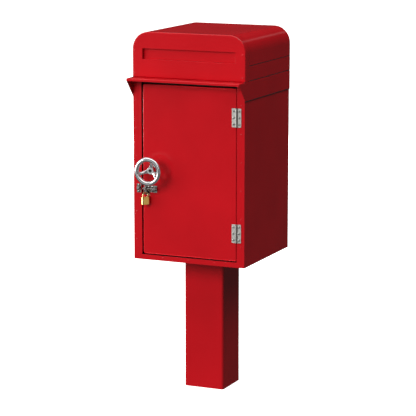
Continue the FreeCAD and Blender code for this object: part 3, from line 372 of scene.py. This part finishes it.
def screwPlaces(nodeName, outward, headHeight):  # where each head sits on what it holds
    outward = Vector(outward)
    places = []
    for low, high in solidBoxes(nodeName):
        middle = (low + high) / 2
        reach = abs((high - low).dot(outward)) / 2
        places.append((middle + outward * (reach - headHeight), outward))
    return places


def makeScrews():
    tree = screwTree()
    front, back, up = (0, -1, 0), (0, 1, 0), (0, 0, 1)
    for name, body, size, metal, held in (
            ("frameScrews", "cabinet", "small", "zincPlate",
             {"hinge_frame_screws": front, "lid_hinge_tub_screws": back}),
            ("keeperScrews", "cabinet", "small", "groundSteel", {"keeper_screws": front}),
            ("trayScrews", "cabinet", "large", "zincPlate", {"tray_screws": up, "header_screws": up}),
            ("doorScrews", "door", "small", "zincPlate", {"hinge_door_screws": front}),
            ("plateScrews", "door", "small", "groundSteel", {"bolt_plate_screws": front}),
            ("lidScrews", "lid", "small", "zincPlate", {"lid_hinge_lid_screws": back})):
        sizes = dict(screws[size])
        crown = sizes["headHeight"] - sizes["rimHeight"]
        sizes["domeRadius"] = (sizes["headRadius"] ** 2 + crown ** 2) / (2 * crown)
        places = []
        for node, outward in held.items():
            places += screwPlaces(node, outward, sizes["headHeight"])
        piece = dressPoints(name, tree, places, sizes | {"metal": finishes[metal]})
        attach(piece, body)
        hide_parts(*held)
        catchers["brightMetal"].append(piece)


# Spot welds: the low round dimples that show through the coat where the frame is joined to the wrap
spotWelds = {
    "seed": 3,
    "segments": 24,
    "rings": 12,
    "radius": 2.6 * mm,
    "height": 0.9 * mm,
    "fromEdge": 9.5 * mm,
    "lowest": 460 * mm,
    "pitch": 81.9 * mm,
    "rows": 6,
    "railHeight": 8.5 * mm,
    "railPitch": 82 * mm,
    "headerFromEdge": 8 * mm,
    "headerHeights": (947 * mm, 1012.5 * mm),
}


def makeSpotWelds():
    tree, given = newTree("spotWeld", [("radius", "NodeSocketFloat"), ("height", "NodeSocketFloat"),
                                       ("coat", "NodeSocketMaterial")])
    ball = addNode(tree, "GeometryNodeMeshUVSphere", values={
        "Segments": spotWelds["segments"], "Rings": spotWelds["rings"], "Radius": 1})
    scale = addNode(tree, "ShaderNodeCombineXYZ", links={
        "X": given["radius"], "Y": given["radius"], "Z": given["height"]})
    dimple = addNode(tree, "GeometryNodeTransform", links={
        "Geometry": ball.outputs["Mesh"], "Scale": scale.outputs["Vector"]})
    spread = spreadOut(tree, given["Geometry"], dimple.outputs["Geometry"], spotWelds["seed"])
    finishTree(tree, spread, given["coat"])
    low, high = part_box("front_frame")
    stile = high[0] - spotWelds["fromEdge"]
    rail = low[2] + spotWelds["railHeight"]
    places = [(side * stile, low[1], spotWelds["lowest"] + row * spotWelds["pitch"])
              for side in (-1, 1) for row in range(spotWelds["rows"])]
    places += [(step * spotWelds["railPitch"], low[1], rail) for step in (-1, 0, 1)]
    low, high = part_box("header_front")
    places += [(side * (high[0] - spotWelds["headerFromEdge"]), low[1], height)
               for side in (-1, 1) for height in spotWelds["headerHeights"]]
    piece = dressPoints("spotWelds", tree, [(place, (0, -1, 0)) for place in places], {
        "radius": spotWelds["radius"], "height": spotWelds["height"], "coat": finishes["powderCoatRed"]})
    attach(piece, "cabinet")
    catchers["frontGlints"].append(piece)


# Beads laid along a path: the weld under the head plate, a near-black rubber bead laid in the seam between
# tray and mail box that darkens the seam's line, and the rolled edge on the door's free sides
beads = {
    "postWeld": {"radius": 3 * mm, "corner": 7 * mm, "step": 1.5 * mm, "waver": 0.35, "rippleMm": 4,
                 "stand": 1.5 * mm},
    # a near-black bead along the seam between tray and mail box, which makes the seam read as a dark line
    "darkSeamBead": {"radius": 1.5 * mm, "corner": 2.5 * mm, "step": 4 * mm, "waver": 0.12, "rippleMm": 30,
                    "sunk": 1.7 * mm},
    "doorHem": {"radius": 1.4 * mm, "corner": 2 * mm, "step": 6 * mm, "waver": 0.02, "rippleMm": 60,
                "sunk": 1 * mm},
}
beadForm = {"cornerPoints": 6, "ringPoints": 12, "swellFrom": 0.25, "swellTo": 0.75}


def beadTree():
    sizes = ("radius", "corner", "step", "waver", "ripples")
    tree, given = newTree("laidBead", [(size, "NodeSocketFloat") for size in sizes]
                          + [("finish", "NodeSocketMaterial")])
    path = addNode(tree, "GeometryNodeMeshToCurve", links={"Mesh": given["Geometry"]})
    path = addNode(tree, "GeometryNodeFilletCurve", {"mode": "POLY"},
                   {"Count": beadForm["cornerPoints"], "Limit Radius": True},
                   {"Curve": path.outputs["Curve"], "Radius": given["corner"]})
    path = addNode(tree, "GeometryNodeResampleCurve", {"mode": "LENGTH"}, links={
        "Curve": path.outputs["Curve"], "Length": given["step"]})
    noise = addNode(tree, "ShaderNodeTexNoise", values={"Detail": 1}, links={"Scale": given["ripples"]})
    least = addNode(tree, "ShaderNodeMath", {"operation": "SUBTRACT"}, {0: 1}, {1: given["waver"]})
    most = addNode(tree, "ShaderNodeMath", {"operation": "ADD"}, {0: 1}, {1: given["waver"]})
    swell = addNode(tree, "ShaderNodeMapRange", values={
        "From Min": beadForm["swellFrom"], "From Max": beadForm["swellTo"]}, links={
        "Value": noise.outputs["Fac"], "To Min": least.outputs[0], "To Max": most.outputs[0]})
    width = addNode(tree, "ShaderNodeMath", {"operation": "MULTIPLY"}, links={
        0: swell.outputs["Result"], 1: given["radius"]})
    ring = addNode(tree, "GeometryNodeCurvePrimitiveCircle", values={
        "Resolution": beadForm["ringPoints"], "Radius": 1})
    bead = addNode(tree, "GeometryNodeCurveToMesh", values={"Fill Caps": True}, links={
        "Curve": path.outputs["Curve"], "Profile Curve": ring.outputs["Curve"], "Scale": width.outputs[0]})
    finishTree(tree, bead.outputs["Mesh"], given["finish"])
    return tree


def makeBeads():
    tree = beadTree()
    low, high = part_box("post_tube")
    edge = high[0] + beads["postWeld"]["stand"]
    under = high[2] - beads["postWeld"]["stand"]
    square = [(edge, edge, under), (-edge, edge, under), (-edge, -edge, under), (edge, -edge, under)]
    low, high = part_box("visor_tray")
    side, behind = [high[axis] - beads["darkSeamBead"]["sunk"] for axis in (0, 1)]
    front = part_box("front_frame")[0][1]
    seam = [(x, y, high[2]) for x, y in ((side, front), (side, behind), (-side, behind), (-side, front))]
    low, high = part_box("door_panel")
    left, face, foot = [corner + beads["doorHem"]["sunk"] for corner in low]
    right, head = [high[axis] - beads["doorHem"]["sunk"] for axis in (0, 2)]
    hem = [(right, face, foot), (left, face, foot), (left, face, head), (right, face, head)]
    for name, path, closed, body, slot, finish in (
            ("postWeld", square, True, "cabinet", "red_paint", "powderCoatRed"),
            ("darkSeamBead", seam, False, "cabinet", "seal_rubber", "spongeRubber"),
            ("doorHem", hem, False, "door", "red_paint", "powderCoatRed")):
        last = len(path) - 1
        runs = [(start, start + 1) for start in range(last)]
        if closed:
            runs.append((last, 0))
        sizes = dict(beads[name])
        sizes["ripples"] = perMetre(sizes["rippleMm"])
        piece = dressPath(name, tree, path, runs, sizes | {"finish": finishes[finish]})
        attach(piece, body)
        if body == "door":
            catchers["doorEdge"].append(piece)


makeScrews()
makeSpotWelds()
makeBeads()
print("repeated pieces made")

# Studio: pale floor that runs out of sight, a wide soft light in front, a weaker one at the left, a bright
# ceiling, and small lights for the metal, the padlock and the door's edge alone
studio = {
    "floorHalf": 60,
    "floorTone": "#f4f4f2",
    "floorRough": 0.8,
    "floorGlow": 0.9,
    "lights": (  # name, place, width, watts, what it falls on where that isn't everything
        ("keyLight", (-4.03, -2.82, 1.55), 3.4, 130, None),
        ("frontLight", (-2.4, -9.1, 4.3), 5, 760, None),
        ("fillLight", (1.2, 0.4, 3.3), 1.4, 19, None),
        ("backLight", (1, 5, 3), 0.5, 0.3, None),
        ("rearLight", (-2.5, 4.6, 0.45), 0.8, 70, None),
        ("edgeLight", (-5, -1.4, 0.9), 1, 800, "doorEdge"),
        ("lowCard", (-1.2, -2.5, 0.2), 1.6, 2.5, "brightMetal"),
        ("highCard", (2.6, -4.2, 2.6), 3.2, 20, "brightMetal"),
        ("rightCard", (3.6, -0.9, 0.5), 2, 2, "brightMetal"),
        ("leftCard", (-3.5, 0.4, 0.5), 1.6, 22, "brightMetal"),
        ("rearRightCard", (2.5, 4.2, 0.3), 2.5, 25, "brightMetal"),
        ("rearLeftCard", (-2.5, 4.2, 0.3), 2.5, 25, "brightMetal"),
        ("glintCard", (-1.1, -2.3, 0.25), 1.4, 4.5, "frontGlints"),
        ("lockRightCard", (3.2, -0.8, 0.5), 1.8, 7.5, "padlockBrass"),
        ("lockLeftCard", (-3.2, 0.35, 0.5), 1.5, 90, "padlockBrass")),
    "notMirrored": ("frontLight", "rearLight"),  # these two don't show in the panels' gloss
    "aim": (0, 0, 0.68),
    "frontWay": (0.3, -0.8, -0.5),
    "wallFrom": -0.95,
    "wallTo": 0.7,
    "behind": 0.02,
    "ahead": 0.13,
    "ceiling": 1.5,
    "ceilingFrom": 0.48,
    "ceilingTo": 0.86,
}


def addLight(name, place, size, watts):
    data = bpy.data.lights.new(name, "AREA")
    data.shape, data.size, data.energy = "DISK", size, watts
    light = bpy.data.objects.new(name, data)
    light.location = place
    light.rotation_mode = "QUATERNION"
    light.rotation_quaternion = (Vector(studio["aim"]) - Vector(place)).to_track_quat("-Z", "Y")
    scene.collection.objects.link(light)
    return light


def makeAir():  # the room's own light: dark behind, a little lighter ahead, bright above
    world = bpy.data.worlds.new("studioAir")
    world.use_nodes = True
    scene.world = world
    tree = world.node_tree
    direction = addNode(tree, "ShaderNodeTexCoord").outputs["Generated"]
    toFront = addNode(tree, "ShaderNodeVectorMath", {"operation": "DOT_PRODUCT"}, {1: studio["frontWay"]},
                      {0: direction})
    wall = addNode(tree, "ShaderNodeMapRange", values={
        "From Min": studio["wallFrom"], "From Max": studio["wallTo"], "To Min": studio["behind"],
        "To Max": studio["ahead"]}, links={"Value": toFront.outputs["Value"]})
    height = addNode(tree, "ShaderNodeSeparateXYZ", links={"Vector": direction})
    ceiling = addNode(tree, "ShaderNodeMapRange", {"interpolation_type": "SMOOTHSTEP"}, {
        "From Min": studio["ceilingFrom"], "From Max": studio["ceilingTo"], "To Min": 0,
        "To Max": studio["ceiling"]}, {"Value": height.outputs["Z"]})
    level = addNode(tree, "ShaderNodeMath", {"operation": "ADD"}, links={
        0: wall.outputs["Result"], 1: ceiling.outputs["Result"]})
    tree.links.new(level.outputs[0], tree.nodes["Background"].inputs["Strength"])
    tree.nodes["Background"].inputs["Color"].default_value = (1, 1, 1, 1)


def makeStudio():
    receivers = {None: None}
    for group, pieces in catchers.items():
        receivers[group] = bpy.data.collections.new(group)
        for piece in pieces:
            receivers[group].objects.link(piece)
    for name, place, size, watts, group in studio["lights"]:
        light = addLight(name, place, size, watts)
        light.light_linking.receiver_collection = receivers[group]
        light.visible_glossy = name not in studio["notMirrored"]
    half = studio["floorHalf"]
    corners = [(-half, -half, 0), (half, -half, 0), (half, half, 0), (-half, half, 0)]
    mesh = bpy.data.meshes.new("floor")
    mesh.from_pydata(corners, [], [(0, 1, 2, 3)])
    floor = bpy.data.objects.new("floor", mesh)
    scene.collection.objects.link(floor)
    tone = linear(studio["floorTone"])
    material, tree, shader, coordinates = newMaterial("paleFloor", {
        "Base Color": tone, "Roughness": studio["floorRough"], "Emission Color": tone,
        "Emission Strength": studio["floorGlow"]})
    mesh.materials.append(material)
    floor.visible_diffuse = floor.visible_glossy = False  # the white floor doesn't light the dark side
    makeAir()
    scene.view_settings.view_transform = "Standard"


makeStudio()
print("studio set")

# The photograph's camera: a long lens from the right of the front, looking a little down
photoCamera = {
    "place": (2.31105, -5.22636, 1.59572),
    "turn": 0.4186,
    "down": 0.1836,
    "focalPixels": 1959.7,
    "picturePixels": 416,
    "sensorMm": 36,
    "clipEnd": 300,
}


def makeCamera():
    data = bpy.data.cameras.new("photoCamera")
    data.sensor_width = photoCamera["sensorMm"]
    data.lens = photoCamera["focalPixels"] * photoCamera["sensorMm"] / photoCamera["picturePixels"]
    data.clip_end = photoCamera["clipEnd"]
    camera = bpy.data.objects.new("photoCamera", data)
    camera.location = photoCamera["place"]
    camera.rotation_euler = (math.pi / 2 - photoCamera["down"], 0, photoCamera["turn"])
    scene.collection.objects.link(camera)
    scene.camera = camera


makeCamera()
print("camera set")
